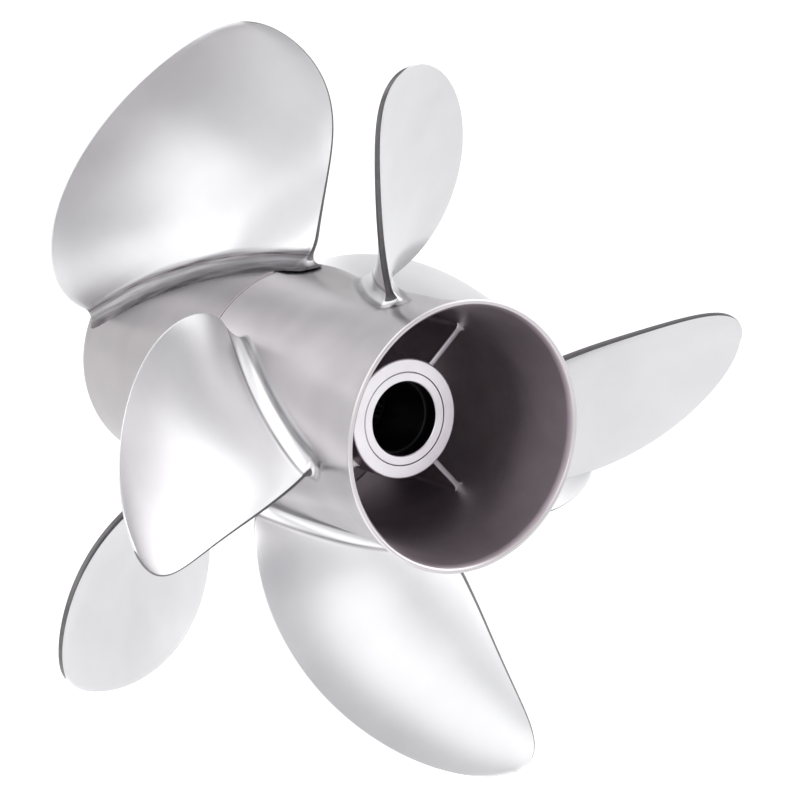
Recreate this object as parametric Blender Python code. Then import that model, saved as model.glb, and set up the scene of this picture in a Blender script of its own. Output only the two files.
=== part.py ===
"""Counter-rotating stern-drive propeller pair.

The shaft axis is the Y axis: +Y forward, +X starboard, +Z up. The origin is on the axis, in
the plane of the front propeller's thrust face. The front propeller has three left-hand blades,
the rear one four right-hand blades, and both hubs are hollow for the exhaust.
"""
import math

import bmesh
import bpy
from mathutils import Vector

# Stations along the shaft, in metres.
AFT_RIM_Y = -0.265
RING_JOIN_Y = -0.247
SEAM_Y = -0.1158
FRONT_RIM_Y = 0.020
SEAM_GAP = 0.0008

# Hub barrels.
RING_R = 0.0667
WAIST_R = 0.0618
SEAM_R = 0.0660
FRONT_RIM_R = 0.0620
AFT_FLARE_LENGTH = 0.050
FORWARD_FLARE_LENGTH = 0.059
BARREL_WALL = 0.0032
BARREL_SEGMENTS = 64
PART_GAP = 0.0003
FOOT_GAP = 0.0005
HEEL_CLEARANCE = 0.0015
HEEL_RISE = 0.003
RIM_ROUND = 0.0012
CHAMFER = 0.0008

# Inner hubs, bushings and sleeves of the rear propeller.
REAR_INNER_AFT_Y = -0.2115
REAR_INNER_FORWARD_Y = -0.123
REAR_INNER_R = 0.0304
REAR_BUSHING_R = 0.0270
REAR_SLEEVE_R = 0.0235
REAR_COUNTERBORE_R = 0.0188
REAR_SPLINE_R = 0.0150

# Inner hubs, bushings and sleeves of the front propeller.
FRONT_INNER_AFT_Y = -0.105
FRONT_INNER_FORWARD_Y = 0.0
FRONT_INNER_R = 0.0385
FRONT_BUSHING_R = 0.0345
FRONT_SLEEVE_R = 0.0300
FRONT_COUNTERBORE_R = 0.0262
FRONT_SPLINE_R = 0.0235

LIP_LENGTH = 0.005
COUNTERBORE_LENGTH = 0.008
COUNTERBORE_STEP = 0.0013
SPLINE_START = 0.045
SPLINE_DEPTH = 0.0013
SLEEVE_SEGMENTS = 48

# Ribs that carry the inner hubs.
RIB_THICKNESS = 0.0032
REAR_RIB_AFT_Y = -0.200
REAR_RIB_FORWARD_Y = -0.128
REAR_RIB_ANGLE = 48.5
FRONT_RIB_AFT_Y = -0.098
FRONT_RIB_FORWARD_Y = -0.006
FRONT_RIB_ANGLE = 60.0

# Blade laws: four values each, at the root, at one third and two thirds of the span, and at
# the tip. The middle of the chord moves aft by the rake and back by the skew. The pitch rises
# to its root value close to the hub. The nose and the tail of the chord are cut back at the
# root by the first value of their pair, down to nothing at the second, a share of the span.
REAR_BLADE = {
    "count": 4,
    "hand": 1,
    "angle": 13.05,
    "tip_r": 0.179,
    "pitch": 0.527,
    "root_pitch": 0.673,
    "chord": (0.104, 0.116, 0.122, 0.1315),
    "nose_cut": (0.015, 0.09),
    "tail_cut": (-0.002, 0.295),
    "tip_power": 2.875,
    "skew": (0.4, -2.6, -9.0, -19.1),
    "station": (-0.17375, -0.19625, -0.22125, -0.258),
    "root_thickness": 0.010,
    "tip_thickness": 0.0026,
    "foot_low_y": AFT_RIM_Y + 0.030,
    "foot_high_y": SEAM_Y - 0.0008,
}
FRONT_BLADE = {
    "count": 3,
    "hand": -1,
    "angle": -27.0,
    "tip_r": 0.197,
    "pitch": 0.575,
    "root_pitch": 0.779,
    "chord": (0.154, 0.163, 0.157, 0.099),
    "nose_cut": (-0.001, 0.245),
    "tail_cut": (0.005, 0.115),
    "tip_power": 4.2,
    "skew": (0.4, -3.2, -9.7, -17.0),
    "station": (-0.0541, -0.066, -0.0925, -0.122),
    "root_thickness": 0.012,
    "tip_thickness": 0.0030,
    "foot_low_y": SEAM_Y - 0.030,
    "foot_high_y": FRONT_RIM_Y - 0.001,
}
PITCH_RISE = 6
EDGE_GAIN = 0.3
THICKNESS_FALL = 1.3
NOSE_EDGE = 0.4
CAMBER = 0.030
CUP = 0.0016
CUP_START = 0.30
EDGE_SHARE = 0.55
TAIL_EXTRA = 0.0013
TAIL_CROWN = 0.0004
PRESSURE_FILLET = 0.0105
SUCTION_FILLET = 0.009
END_FILLET = 0.007
RUN_OUT = 0.006
FILLET_HEIGHTS = (0.0, 0.05, 0.18, 0.40, 0.70, 1.0)
SPAN_STATIONS = 13
LAST_STATION = 0.965
CHORD_STATIONS = (
    0.49, 0.46, 0.40, 0.32, 0.23, 0.13, 0.03, -0.07, -0.16, -0.25, -0.33, -0.40, -0.45, -0.48, -0.50,
)
FOOT_DIVISIONS = 6


def clear_scene():
    for item in list(bpy.data.objects):
        bpy.data.objects.remove(item, do_unlink=True)


def make_material(name, colour, metallic, roughness):
    material = bpy.data.materials.new(name)
    material.use_nodes = True
    shader = material.node_tree.nodes["Principled BSDF"]
    shader.inputs["Base Color"].default_value = (*colour, 1.0)
    shader.inputs["Metallic"].default_value = metallic
    shader.inputs["Roughness"].default_value = roughness
    material.diffuse_color = (*colour, 1.0)
    return material


def add_object(name, bm, material, parent, smooth_angle=30.0):
    bmesh.ops.recalc_face_normals(bm, faces=bm.faces)
    mesh = bpy.data.meshes.new(name)
    bm.to_mesh(mesh)
    bm.free()
    mesh.shade_smooth()
    mesh.set_sharp_from_angle(angle=math.radians(smooth_angle))
    mesh.materials.append(material)
    item = bpy.data.objects.new(name, mesh)
    item.parent = parent
    bpy.context.scene.collection.objects.link(item)
    return item


def rear_hub_radius(y):
    """Outer radius of the rear hub: a waist between the exhaust flare and the seam."""
    radius = WAIST_R
    aft = (y - AFT_RIM_Y) / AFT_FLARE_LENGTH
    if aft < 1.0:
        radius += (RING_R - WAIST_R) * (1.0 - aft) ** 2
    forward = (y - SEAM_Y) / FORWARD_FLARE_LENGTH + 1.0
    if forward > 0.0:
        radius += (SEAM_R - WAIST_R) * forward ** 2
    return radius


def front_hub_radius(y):
    """Outer radius of the front hub: full at the seam, drawn in towards the gear case."""
    share = (y - SEAM_Y) / (FRONT_RIM_Y - SEAM_Y)
    return SEAM_R - (SEAM_R - FRONT_RIM_R) * share ** 2


def front_foot_radius(y):
    """Radius under a front blade's foot: its own hub, then clear of the rear hub it overhangs."""
    if y >= SEAM_Y:
        return front_hub_radius(y)
    return rear_hub_radius(y) + HEEL_CLEARANCE * min(1.0, (SEAM_Y - y) / HEEL_RISE)


def spaced(start, end, count):
    return [start + (end - start) * i / (count - 1) for i in range(count)]


def turned(name, profile, material, parent, segments):
    """Spins a closed profile of (y, radius) points about the shaft axis."""
    bm = bmesh.new()
    ring = [bm.verts.new((0.0, y, r)) for y, r in profile]
    edges = [bm.edges.new((ring[i - 1], ring[i])) for i in range(len(ring))]
    bmesh.ops.spin(
        bm,
        geom=ring + edges,
        cent=(0.0, 0.0, 0.0),
        axis=(0.0, 1.0, 0.0),
        angle=2.0 * math.pi,
        steps=segments,
        use_merge=True,
    )
    bmesh.ops.remove_doubles(bm, verts=bm.verts, dist=0.000001)
    return add_object(name, bm, material, parent)


def hub_barrel(name, radius_at, aft_y, forward_y, rows, material, parent):
    outer = [(y, radius_at(y)) for y in spaced(aft_y, forward_y, rows)]
    inner = [(y, radius_at(y) - BARREL_WALL) for y in spaced(forward_y, aft_y, rows // 2 + 1)]
    return turned(name, outer + inner, material, parent, BARREL_SEGMENTS)


def exhaust_ring(material, parent):
    """The flared end of the rear hub, with a rounded lip on its aft edge."""
    stations = spaced(AFT_RIM_Y + RIM_ROUND, RING_JOIN_Y - PART_GAP, 4)
    outer = [(y, rear_hub_radius(y)) for y in stations]
    inner = [(y, rear_hub_radius(y) - BARREL_WALL) for y in reversed(stations)]
    bore_r = RING_R - BARREL_WALL
    lip = [
        (AFT_RIM_Y + 0.25 * RIM_ROUND, bore_r + 0.75 * RIM_ROUND),
        (AFT_RIM_Y, bore_r + 1.4 * RIM_ROUND),
        (AFT_RIM_Y, RING_R - 0.7 * RIM_ROUND),
    ]
    return turned("rear_exhaust_ring", outer + inner + lip, material, parent, BARREL_SEGMENTS)


def inner_hub(name, aft_y, forward_y, radius, seat_r, lip_r, material, parent):
    """The tube that holds the bushing, with a lip at its aft end."""
    lip_end = aft_y + LIP_LENGTH
    profile = [
        (aft_y, lip_r + PART_GAP),
        (aft_y, radius - CHAMFER),
        (aft_y + CHAMFER, radius),
        (forward_y - CHAMFER, radius),
        (forward_y, radius - CHAMFER),
        (forward_y, seat_r + PART_GAP),
        (lip_end, seat_r + PART_GAP),
        (lip_end, lip_r + PART_GAP),
    ]
    return turned(name, profile, material, parent, SLEEVE_SEGMENTS)


def bushing(name, aft_y, forward_y, outer_r, inner_r, material, parent):
    profile = [
        (aft_y + LIP_LENGTH + PART_GAP, inner_r + PART_GAP),
        (aft_y + LIP_LENGTH + PART_GAP, outer_r),
        (forward_y - LIP_LENGTH, outer_r),
        (forward_y - LIP_LENGTH, inner_r + PART_GAP),
    ]
    return turned(name, profile, material, parent, SLEEVE_SEGMENTS)


def splined_sleeve(name, aft_y, forward_y, outer_r, counterbore_r, spline_r, material, parent):
    """The sleeve on the shaft: a stepped plain bore aft, then a bore with teeth all round."""
    step_y = aft_y + COUNTERBORE_LENGTH
    teeth_y = aft_y + SPLINE_START
    plain_r = counterbore_r - COUNTERBORE_STEP
    bm = bmesh.new()
    loops = []
    rows = (
        (aft_y, counterbore_r, 0.0),
        (aft_y, outer_r, 0.0),
        (forward_y, outer_r, 0.0),
        (forward_y, spline_r, SPLINE_DEPTH),
        (teeth_y, spline_r, SPLINE_DEPTH),
        (teeth_y, plain_r, 0.0),
        (step_y, plain_r, 0.0),
        (step_y, counterbore_r, 0.0),
    )
    for y, radius, depth in rows:
        loop = []
        for i in range(SLEEVE_SEGMENTS):
            angle = 2.0 * math.pi * i / SLEEVE_SEGMENTS
            r = radius + (depth if i % 3 else 0.0)
            loop.append(bm.verts.new((r * math.sin(angle), y, r * math.cos(angle))))
        loops.append(loop)
    bridge_rows(bm, loops, closed=True)
    return add_object(name, bm, material, parent)


def bridge_rows(bm, loops, closed):
    """Fills quads between neighbouring rings of vertices, and from the last to the first."""
    pairs = list(zip(loops, loops[1:]))
    if closed:
        pairs.append((loops[-1], loops[0]))
    for lower, upper in pairs:
        for i in range(len(lower)):
            bm.faces.new((lower[i - 1], lower[i], upper[i], upper[i - 1]))


def rib(name, angle, aft_y, forward_y, inner_r, radius_at, material, parent):
    """A radial plate from the inner hub to the barrel, with a rounded aft edge."""
    full = RIB_THICKNESS / 2.0
    low = inner_r + PART_GAP
    half_rows = [(aft_y, 0.3 * full), (aft_y + 0.3 * full, 0.72 * full)]
    for y in spaced(aft_y + full, forward_y, 5):
        half_rows.append((y, full))
    bm = bmesh.new()
    loops = []
    for y, half in half_rows:
        high = radius_at(y) - BARREL_WALL - 2.0 * PART_GAP
        corners = ((-half, low), (half, low), (half, high), (-half, high))
        loops.append([bm.verts.new((x, y, z)) for x, z in corners])
    bridge_rows(bm, loops, closed=False)
    bm.faces.new(loops[0])
    bm.faces.new(loops[-1])
    item = add_object(name, bm, material, parent)
    item.rotation_euler = (0.0, math.radians(angle), 0.0)
    return item


def law(values, t):
    """The cubic through four values at t = 0, 1/3, 2/3 and 1."""
    nodes = (0.0, 1.0 / 3.0, 2.0 / 3.0, 1.0)
    total = 0.0
    for i, value in enumerate(values):
        weight = 1.0
        for j, node in enumerate(nodes):
            if j != i:
                weight *= (t - node) / (nodes[i] - node)
        total += weight * value
    return total


def fillet_spread(height, radius):
    """How far a round fillet stands out at a height above the hub."""
    if height >= radius:
        return 0.0
    rest = 1.0 - height / radius
    return radius * (1.0 - math.sqrt(1.0 - rest * rest))


def smooth_step(x):
    return x * x * (3.0 - 2.0 * x)


def root_cut(pair, t):
    """How far one end of the chord is cut back at a share of the span."""
    amount, reach = pair
    return amount * max(0.0, 1.0 - t / reach) ** 2


def section_outline(blade, t):
    """The blade's section as (along, across) points: nose, suction side, tail, pressure side."""
    closing = math.sqrt(1.0 - t ** blade["tip_power"])
    chord = law(blade["chord"], t) * closing
    nose_reach = 0.5 * chord - root_cut(blade["nose_cut"], t)
    tail_reach = 0.5 * chord + TAIL_EXTRA * closing - root_cut(blade["tail_cut"], t)
    edge = blade["tip_thickness"] * (1.0 + EDGE_GAIN * (1.0 - t))
    thickness = edge + (blade["root_thickness"] - edge) * (1.0 - t) ** THICKNESS_FALL
    cup = CUP * closing
    suction = []
    pressure = []
    for s in CHORD_STATIONS:
        along = 2.0 * s * (nose_reach if s > 0.0 else tail_reach)
        body = thickness * (1.0 - (2.0 * s) ** 2) ** EDGE_SHARE
        half = 0.5 * max(body, edge * (1.0 + (NOSE_EDGE - 1.0) * smooth_step(0.5 + s)))
        mean = CAMBER * chord * (1.0 - 4.0 * s * s)
        if -s > CUP_START:
            mean -= cup * ((-s - CUP_START) / (0.5 - CUP_START)) ** 2
        suction.append((along, mean + half))
        pressure.append((along, mean - half))
    nose = (nose_reach, 0.0)
    tail = (-tail_reach - TAIL_CROWN, -cup)
    return [nose] + suction + [tail] + list(reversed(pressure))


def with_fillet(outline, height):
    """Moves each point of an outline outwards by the root fillet at this height."""
    moved = []
    for i, (along, across) in enumerate(outline):
        before = outline[i - 1]
        after = outline[(i + 1) % len(outline)]
        normal = Vector((after[1] - before[1], before[0] - after[0])).normalized()
        side = PRESSURE_FILLET if normal.y < 0.0 else SUCTION_FILLET
        radius = END_FILLET * normal.x ** 2 + side * normal.y ** 2
        spread = fillet_spread(height, radius)
        moved.append((along + normal.x * spread, across + normal.y * spread))
    return moved


def drawn_in(y, low, high):
    """Draws the ends of the root fillet in, so that it runs out before the hub's turned end."""
    if y < low + RUN_OUT:
        return low + RUN_OUT * math.exp((y - low - RUN_OUT) / RUN_OUT)
    if y > high - RUN_OUT:
        return high - RUN_OUT * math.exp((high - RUN_OUT - y) / RUN_OUT)
    return y


def place(blade, radius_at, t, along, across):
    """Wraps a point of a section round the shaft axis."""
    height = (blade["tip_r"] - WAIST_R) * t
    pitch_r = WAIST_R + height
    pitch = blade["pitch"] + (blade["root_pitch"] - blade["pitch"]) * (1.0 - t) ** PITCH_RISE
    pitch_angle = math.atan2(pitch, 2.0 * math.pi * pitch_r)
    turn = along * math.cos(pitch_angle) - across * math.sin(pitch_angle)
    y = law(blade["station"], t) + along * math.sin(pitch_angle) + across * math.cos(pitch_angle)
    on_hub = drawn_in(y, blade["foot_low_y"], blade["foot_high_y"])
    y += (on_hub - y) * max(0.0, 1.0 - height / PRESSURE_FILLET)
    r = pitch_r + (radius_at(on_hub) + FOOT_GAP - WAIST_R) * (1.0 - t)
    angle = blade["hand"] * (math.radians(law(blade["skew"], t)) + turn / pitch_r)
    return Vector((r * math.sin(angle), y, r * math.cos(angle)))


def span_shares():
    """Rings close together in the root fillet and towards the tip, as shares of the rest."""
    return [1.0 - (1.0 - LAST_STATION * i / SPAN_STATIONS) ** 2 for i in range(1, SPAN_STATIONS + 1)]


def blade_mesh(blade, radius_at):
    """One blade standing at the top, as rings of points from the hub out to the tip."""
    bm = bmesh.new()
    span = blade["tip_r"] - WAIST_R
    heights = [share * PRESSURE_FILLET for share in FILLET_HEIGHTS]
    heights += [PRESSURE_FILLET + (span - PRESSURE_FILLET) * share for share in span_shares()]
    loops = []
    for height in heights:
        t = height / span
        outline = with_fillet(section_outline(blade, t), height)
        loops.append([bm.verts.new(place(blade, radius_at, t, *point)) for point in outline])
    bridge_rows(bm, loops, closed=False)
    fill_tip(bm, loops[-1])
    fill_foot(bm, blade, radius_at, loops[0])
    return bm


def fill_tip(bm, loop):
    """Closes a ring with faces between its two sides, and a triangle at nose and tail."""
    count = len(CHORD_STATIONS)
    suction = loop[1:count + 1]
    pressure = list(reversed(loop[count + 2:]))
    fill_between(bm, loop[0], loop[count + 1], [suction, pressure])


def fill_between(bm, nose, tail, rows):
    for near, far in zip(rows, rows[1:]):
        bm.faces.new((nose, near[0], far[0]))
        for i in range(len(near) - 1):
            bm.faces.new((near[i], near[i + 1], far[i + 1], far[i]))
        bm.faces.new((tail, far[-1], near[-1]))


def fill_foot(bm, blade, radius_at, loop):
    """Closes the foot with rows of points that follow the round of the hub."""
    count = len(CHORD_STATIONS)
    outline = with_fillet(section_outline(blade, 0.0), 0.0)
    suction = outline[1:count + 1]
    pressure = list(reversed(outline[count + 2:]))
    rows = [loop[1:count + 1]]
    for j in range(1, FOOT_DIVISIONS):
        share = j / FOOT_DIVISIONS
        row = []
        for near, far in zip(suction, pressure):
            along = near[0] + (far[0] - near[0]) * share
            across = near[1] + (far[1] - near[1]) * share
            row.append(bm.verts.new(place(blade, radius_at, 0.0, along, across)))
        rows.append(row)
    rows.append(list(reversed(loop[count + 2:])))
    fill_between(bm, loop[0], loop[count + 1], rows)


def add_blades(prefix, blade, radius_at, material, parent):
    for i in range(blade["count"]):
        item = add_object(f"{prefix}_blade_{i + 1}", blade_mesh(blade, radius_at), material, parent)
        angle = blade["angle"] + 360.0 * i / blade["count"]
        item.rotation_euler = (0.0, math.radians(angle), 0.0)


def add_parent(name):
    empty = bpy.data.objects.new(name, None)
    bpy.context.scene.collection.objects.link(empty)
    return empty


def build_rear(polished, cast, machined, rubber):
    axis = add_parent("rear_propeller_axis")
    hub_barrel(
        "rear_hub_barrel",
        rear_hub_radius,
        RING_JOIN_Y,
        SEAM_Y - SEAM_GAP / 2.0,
        11,
        polished,
        axis,
    )
    exhaust_ring(polished, axis)
    inner_hub(
        "rear_inner_hub",
        REAR_INNER_AFT_Y,
        REAR_INNER_FORWARD_Y,
        REAR_INNER_R,
        REAR_BUSHING_R,
        REAR_SLEEVE_R,
        machined,
        axis,
    )
    bushing(
        "rear_rubber_bushing",
        REAR_INNER_AFT_Y,
        REAR_INNER_FORWARD_Y,
        REAR_BUSHING_R,
        REAR_SLEEVE_R,
        rubber,
        axis,
    )
    splined_sleeve(
        "rear_spline_sleeve",
        REAR_INNER_AFT_Y,
        REAR_INNER_FORWARD_Y,
        REAR_SLEEVE_R,
        REAR_COUNTERBORE_R,
        REAR_SPLINE_R,
        machined,
        axis,
    )
    for i in range(4):
        rib(
            f"rear_rib_{i + 1}",
            REAR_RIB_ANGLE + 90.0 * i,
            REAR_RIB_AFT_Y,
            REAR_RIB_FORWARD_Y,
            REAR_INNER_R,
            rear_hub_radius,
            cast,
            axis,
        )
    add_blades("rear", REAR_BLADE, rear_hub_radius, polished, axis)


def build_front(polished, cast, machined, rubber):
    axis = add_parent("front_propeller_axis")
    hub_barrel(
        "front_hub_barrel",
        front_hub_radius,
        SEAM_Y + SEAM_GAP / 2.0,
        FRONT_RIM_Y,
        8,
        polished,
        axis,
    )
    inner_hub(
        "front_inner_hub",
        FRONT_INNER_AFT_Y,
        FRONT_INNER_FORWARD_Y,
        FRONT_INNER_R,
        FRONT_BUSHING_R,
        FRONT_SLEEVE_R,
        machined,
        axis,
    )
    bushing(
        "front_rubber_bushing",
        FRONT_INNER_AFT_Y,
        FRONT_INNER_FORWARD_Y,
        FRONT_BUSHING_R,
        FRONT_SLEEVE_R,
        rubber,
        axis,
    )
    splined_sleeve(
        "front_spline_sleeve",
        FRONT_INNER_AFT_Y,
        FRONT_INNER_FORWARD_Y,
        FRONT_SLEEVE_R,
        FRONT_COUNTERBORE_R,
        FRONT_SPLINE_R,
        machined,
        axis,
    )
    for i in range(3):
        rib(
            f"front_rib_{i + 1}",
            FRONT_RIB_ANGLE + 120.0 * i,
            FRONT_RIB_AFT_Y,
            FRONT_RIB_FORWARD_Y,
            FRONT_INNER_R,
            front_hub_radius,
            cast,
            axis,
        )
    add_blades("front", FRONT_BLADE, front_foot_radius, polished, axis)


clear_scene()
polished_steel = make_material("polished_stainless", (0.62, 0.61, 0.60), 1.0, 0.16)
cast_steel = make_material("satin_cast_stainless", (0.30, 0.29, 0.30), 1.0, 0.42)
machined_steel = make_material("machined_stainless", (0.66, 0.67, 0.69), 1.0, 0.28)
black_rubber = make_material("black_rubber", (0.02, 0.02, 0.02), 0.0, 0.7)
build_front(polished_steel, cast_steel, machined_steel, black_rubber)
build_rear(polished_steel, cast_steel, machined_steel, black_rubber)
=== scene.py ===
import math

import bmesh
import bpy
from mathutils import Matrix, Vector


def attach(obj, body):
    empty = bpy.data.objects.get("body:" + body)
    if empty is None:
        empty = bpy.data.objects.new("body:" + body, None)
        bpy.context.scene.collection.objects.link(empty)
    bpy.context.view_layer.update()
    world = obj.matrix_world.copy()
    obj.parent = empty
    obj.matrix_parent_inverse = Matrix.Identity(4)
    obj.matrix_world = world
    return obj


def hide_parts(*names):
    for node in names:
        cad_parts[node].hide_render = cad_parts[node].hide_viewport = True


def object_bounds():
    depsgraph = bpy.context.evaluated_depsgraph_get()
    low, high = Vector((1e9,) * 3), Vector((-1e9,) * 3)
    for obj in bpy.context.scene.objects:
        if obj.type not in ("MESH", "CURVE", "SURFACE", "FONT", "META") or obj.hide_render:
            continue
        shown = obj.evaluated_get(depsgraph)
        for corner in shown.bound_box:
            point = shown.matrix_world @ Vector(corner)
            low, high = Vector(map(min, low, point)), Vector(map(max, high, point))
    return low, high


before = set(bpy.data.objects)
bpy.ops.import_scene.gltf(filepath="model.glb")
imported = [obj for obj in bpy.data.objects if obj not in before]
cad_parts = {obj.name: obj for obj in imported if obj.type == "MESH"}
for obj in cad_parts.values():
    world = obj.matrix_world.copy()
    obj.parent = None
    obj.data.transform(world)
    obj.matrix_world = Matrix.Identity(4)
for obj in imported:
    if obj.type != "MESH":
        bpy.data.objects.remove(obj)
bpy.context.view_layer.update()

# Rear hub barrel. The real one is the exhaust tube of an investment-cast stainless propeller:
# waisted in the middle, flared at the aft end, ground and polished outside, as cast inside.
# It turns on the inner of two concentric shafts, a hair's breadth behind the front hub.

AFT_RIM_Y = -0.265
SEAM_Y = -0.1158
RUNNING_GAP = 0.0008
RING_R = 0.0667
WAIST_R = 0.0618
SEAM_R = 0.0660
AFT_FLARE = 0.050
SEAM_FLARE = 0.059
BARREL_WALL = 0.0032
BARREL_RINGS = 60
SEAM_EDGE_ROUND = 0.0006
RING_JOIN_Y = -0.247
HUB_SEGMENTS = 160


def rear_hub_radius(y):
    """Outer radius of the rear hub: a waist between the exhaust flare and the seam."""
    radius = WAIST_R
    aft = (y - AFT_RIM_Y) / AFT_FLARE
    if aft < 1.0:
        radius += (RING_R - WAIST_R) * (1.0 - aft) ** 2
    forward = (y - SEAM_Y) / SEAM_FLARE + 1.0
    if forward > 0.0:
        radius += (SEAM_R - WAIST_R) * forward ** 2
    return radius


def spaced(start, end, count):
    """Evenly spaced values from start to end, both included."""
    return [start + (end - start) * i / (count - 1) for i in range(count)]


def linear(hex_colour):
    """An sRGB hex colour as the linear values that a shader takes."""
    values = [int(hex_colour[i:i + 2], 16) / 255.0 for i in (1, 3, 5)]
    return [v / 12.92 if v <= 0.04045 else ((v + 0.055) / 1.055) ** 2.4 for v in values] + [1.0]


def add_node(tree, kind, inputs, **settings):
    """Adds a shader node with its settings; an input is a value or another node's output."""
    node = tree.nodes.new("ShaderNode" + kind)
    for name, value in settings.items():
        setattr(node, name, value)
    for name, value in inputs.items():
        if isinstance(value, bpy.types.NodeSocket):
            tree.links.new(value, node.inputs[name])
        else:
            node.inputs[name].default_value = value
    return node


def new_material(name):
    """An empty material, its node tree and its Principled shader."""
    material = bpy.data.materials.new(name)
    material.use_nodes = True
    tree = material.node_tree
    return material, tree, tree.nodes["Principled BSDF"]


def polished_stainless(name="polished_cast_stainless"):
    """Stainless casting, belt ground and mop polished: a soft mirror, faintly cloudy."""
    material, tree, shader = new_material(name)
    shader.inputs["Metallic"].default_value = 1.0
    place = add_node(tree, "TexCoord", {}).outputs["Object"]
    clouds = add_node(tree, "TexNoise", {"Vector": place, "Scale": 1.0 / 0.030, "Detail": 3.0})
    tone = add_node(
        tree,
        "MixRGB",
        {"Fac": clouds.outputs["Fac"], "Color1": linear("#C2C2C4"), "Color2": linear("#D1D1D3")},
    )
    tree.links.new(tone.outputs["Color"], shader.inputs["Base Color"])
    rough = add_node(
        tree,
        "MapRange",
        {"Value": clouds.outputs["Fac"], "To Min": 0.28, "To Max": 0.33},
    )
    tree.links.new(rough.outputs["Result"], shader.inputs["Roughness"])
    return material


def ground_stainless(name, dark, light):
    """A hub's outside: ground and lightly polished, so duller and greyer than the blades."""
    material, tree, shader = new_material(name)
    shader.inputs["Metallic"].default_value = 1.0
    place = add_node(tree, "TexCoord", {}).outputs["Object"]
    clouds = add_node(tree, "TexNoise", {"Vector": place, "Scale": 1.0 / 0.020, "Detail": 1.0})
    tone = add_node(
        tree,
        "MixRGB",
        {"Fac": clouds.outputs["Fac"], "Color1": linear(dark), "Color2": linear(light)},
    )
    tree.links.new(tone.outputs["Color"], shader.inputs["Base Color"])
    rough = add_node(
        tree,
        "MapRange",
        {"Value": clouds.outputs["Fac"], "To Min": 0.28, "To Max": 0.34},
    )
    tree.links.new(rough.outputs["Result"], shader.inputs["Roughness"])
    return material


def cast_stainless():
    """The same steel left as it was cast and blasted: a dull, faintly pebbled dark grey."""
    material, tree, shader = new_material("blasted_cast_stainless")
    shader.inputs["Metallic"].default_value = 1.0
    place = add_node(tree, "TexCoord", {}).outputs["Object"]
    grain = add_node(tree, "TexNoise", {"Vector": place, "Scale": 1.0 / 0.0009, "Detail": 2.0})
    stain = add_node(tree, "TexNoise", {"Vector": place, "Scale": 1.0 / 0.025, "Detail": 4.0})
    tone = add_node(tree, "ValToRGB", {"Fac": stain.outputs["Fac"]})
    tone.color_ramp.elements[0].position = 0.30
    tone.color_ramp.elements[0].color = linear("#A69CA2")
    tone.color_ramp.elements[1].position = 0.70
    tone.color_ramp.elements[1].color = linear("#B4A9B0")
    tree.links.new(tone.outputs["Color"], shader.inputs["Base Color"])
    bump = add_node(
        tree,
        "Bump",
        {"Height": grain.outputs["Fac"], "Strength": 0.25, "Distance": 0.0002},
    )
    tree.links.new(bump.outputs["Normal"], shader.inputs["Normal"])
    shader.inputs["Roughness"].default_value = 0.48
    return material


POLISHED = polished_stainless()
REAR_GROUND = ground_stainless("ground_cast_stainless", "#B8B4B6", "#C8C4C6")
CAST = cast_stainless()


def finished(name, bm, materials, smooth_angle=35.0):
    """Makes a smooth-shaded object of a mesh, in the scene."""
    bmesh.ops.recalc_face_normals(bm, faces=bm.faces)
    mesh = bpy.data.meshes.new(name)
    bm.to_mesh(mesh)
    bm.free()
    mesh.shade_smooth()
    mesh.set_sharp_from_angle(angle=math.radians(smooth_angle))
    for material in materials:
        mesh.materials.append(material)
    piece = bpy.data.objects.new(name, mesh)
    bpy.context.scene.collection.objects.link(piece)
    return piece


def supported(profile):
    """Adds a point close to each end of the long sides, so that flat faces stay flat shaded."""
    gap = 0.0002
    points = []
    for i, (y, r) in enumerate(profile):
        next_y, next_r = profile[(i + 1) % len(profile)]
        length = math.hypot(next_y - y, next_r - r)
        points.append((y, r))
        if length > 5.0 * gap:
            for share in (gap / length, 1.0 - gap / length):
                points.append((y + (next_y - y) * share, r + (next_r - r) * share))
    return points


def turned(name, profile, materials, inner_from=None):
    """Spins a closed profile of (y, radius) points about the shaft; inner faces come last."""
    bm = bmesh.new()
    rings = []
    for y, r in profile:
        ring = []
        for k in range(HUB_SEGMENTS):
            angle = 2.0 * math.pi * k / HUB_SEGMENTS
            ring.append(bm.verts.new((r * math.sin(angle), y, r * math.cos(angle))))
        rings.append(ring)
    for i, ring in enumerate(rings):
        after = rings[(i + 1) % len(rings)]
        for k in range(HUB_SEGMENTS):
            face = bm.faces.new((ring[k - 1], ring[k], after[k], after[k - 1]))
            if inner_from is not None and i >= inner_from:
                face.material_index = 1
    return finished(name, bm, materials)


def barrel(name, radius_at, aft_y, forward_y, aft_round, forward_round, outside):
    """A cast tube with an outer and an inner skin and small rounds on its end edges."""
    stations = spaced(aft_y + aft_round, forward_y - forward_round, BARREL_RINGS)
    end_r = radius_at(forward_y)
    profile = [(y, radius_at(y)) for y in stations]
    profile += [
        (forward_y - 0.3 * forward_round, end_r - 0.3 * forward_round),
        (forward_y, end_r - forward_round),
        (forward_y, end_r - BARREL_WALL + forward_round),
    ]
    inner_from = len(profile) - 1
    stations = spaced(forward_y - forward_round, aft_y + aft_round, BARREL_RINGS)
    profile += [(y, radius_at(y) - BARREL_WALL) for y in stations]
    if aft_round:
        end_r = radius_at(aft_y)
        profile += [
            (aft_y, end_r - BARREL_WALL + aft_round),
            (aft_y, end_r - aft_round),
            (aft_y + 0.3 * aft_round, end_r - 0.3 * aft_round),
        ]
    return turned(name, profile, [outside, CAST], inner_from)


rear_hub = barrel(
    "rear_hub_casting",
    rear_hub_radius,
    RING_JOIN_Y,
    SEAM_Y - RUNNING_GAP / 2.0,
    0.0,
    SEAM_EDGE_ROUND,
    REAR_GROUND,
)
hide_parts("rear_hub_barrel")
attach(rear_hub, "rear_propeller")

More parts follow.
